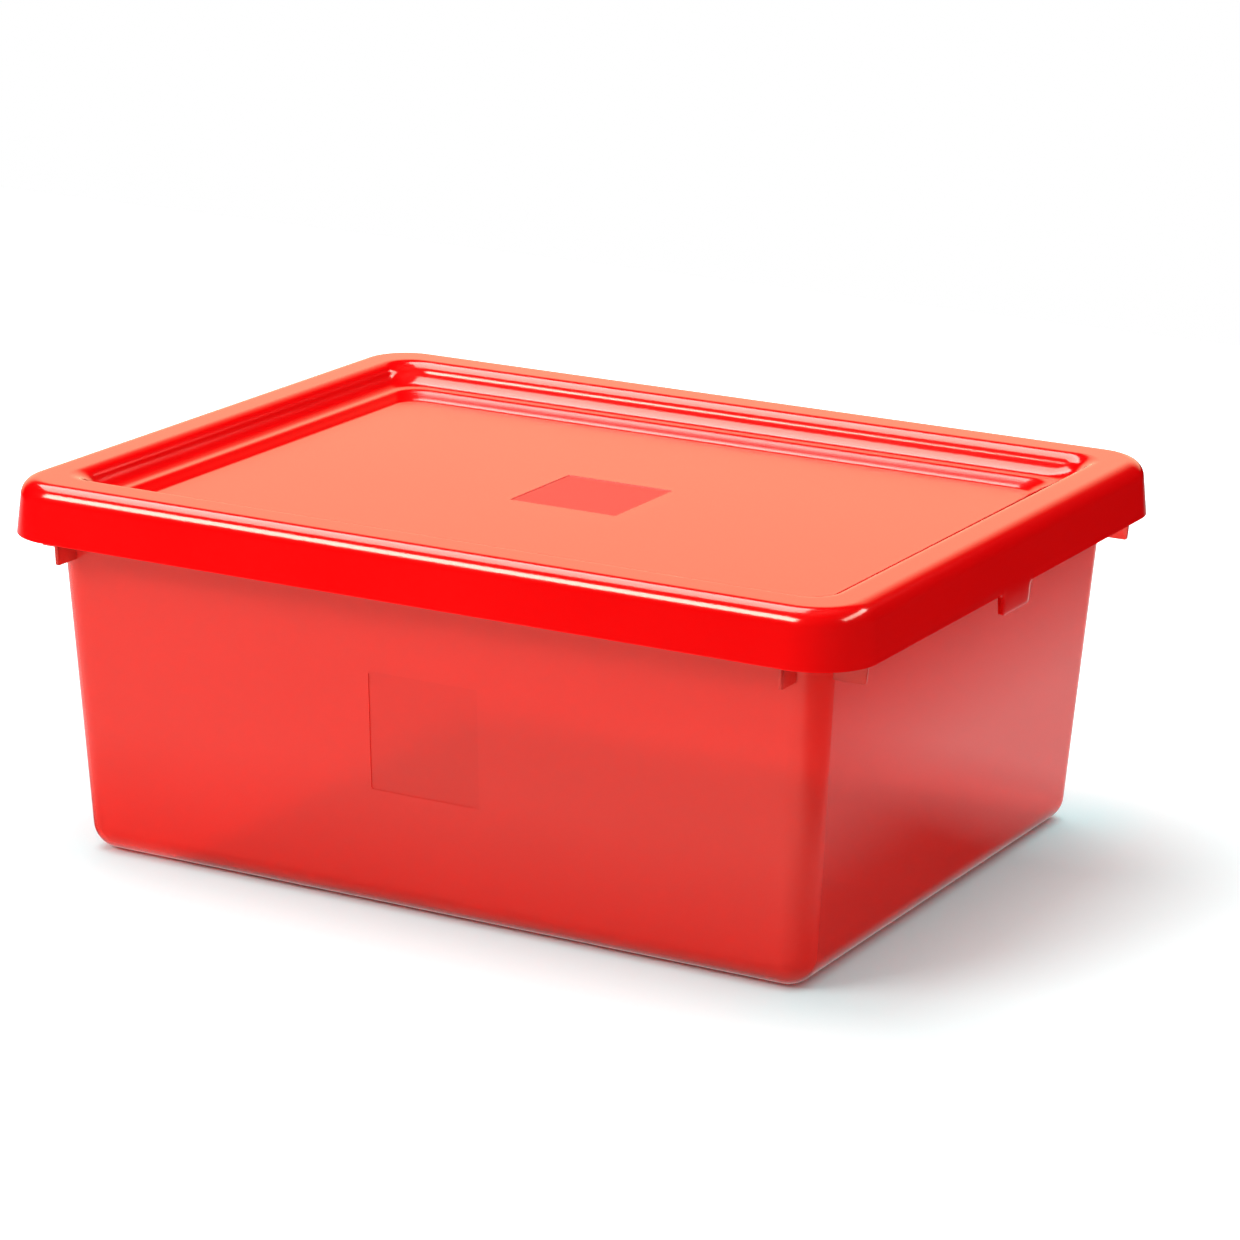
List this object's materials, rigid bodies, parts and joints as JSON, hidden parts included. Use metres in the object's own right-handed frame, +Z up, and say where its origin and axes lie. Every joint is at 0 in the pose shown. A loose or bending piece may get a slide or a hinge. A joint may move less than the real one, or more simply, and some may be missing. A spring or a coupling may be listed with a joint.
{
  "type": "storage box with lift-off lid",
  "caption": "Plastic storage box with a translucent red tub and an opaque red lid with a sunk tray, lifted off by hand.",
  "frame": {"origin": "on the floor plane under the middle of the box", "axes": "+X along the long side, +Y along the short side, +Z up through the lid"},
  "size_m": [0.4, 0.319, 0.165],
  "materials": {
    "tub_plastic": "smooth translucent plastic, slightly diffusing",
    "lid_plastic": "smooth glossy opaque plastic"
  },
  "bodies": {
    "tub": {"storage_tub": "tub_plastic"},
    "lid": {"lid": "lid_plastic"}
  },
  "joints": [
    {"name": "lid_lift", "type": "slide", "parent": "tub", "child": "lid", "axis": [0, 0, 1], "range_m": [0, 0.1]}
  ]
}
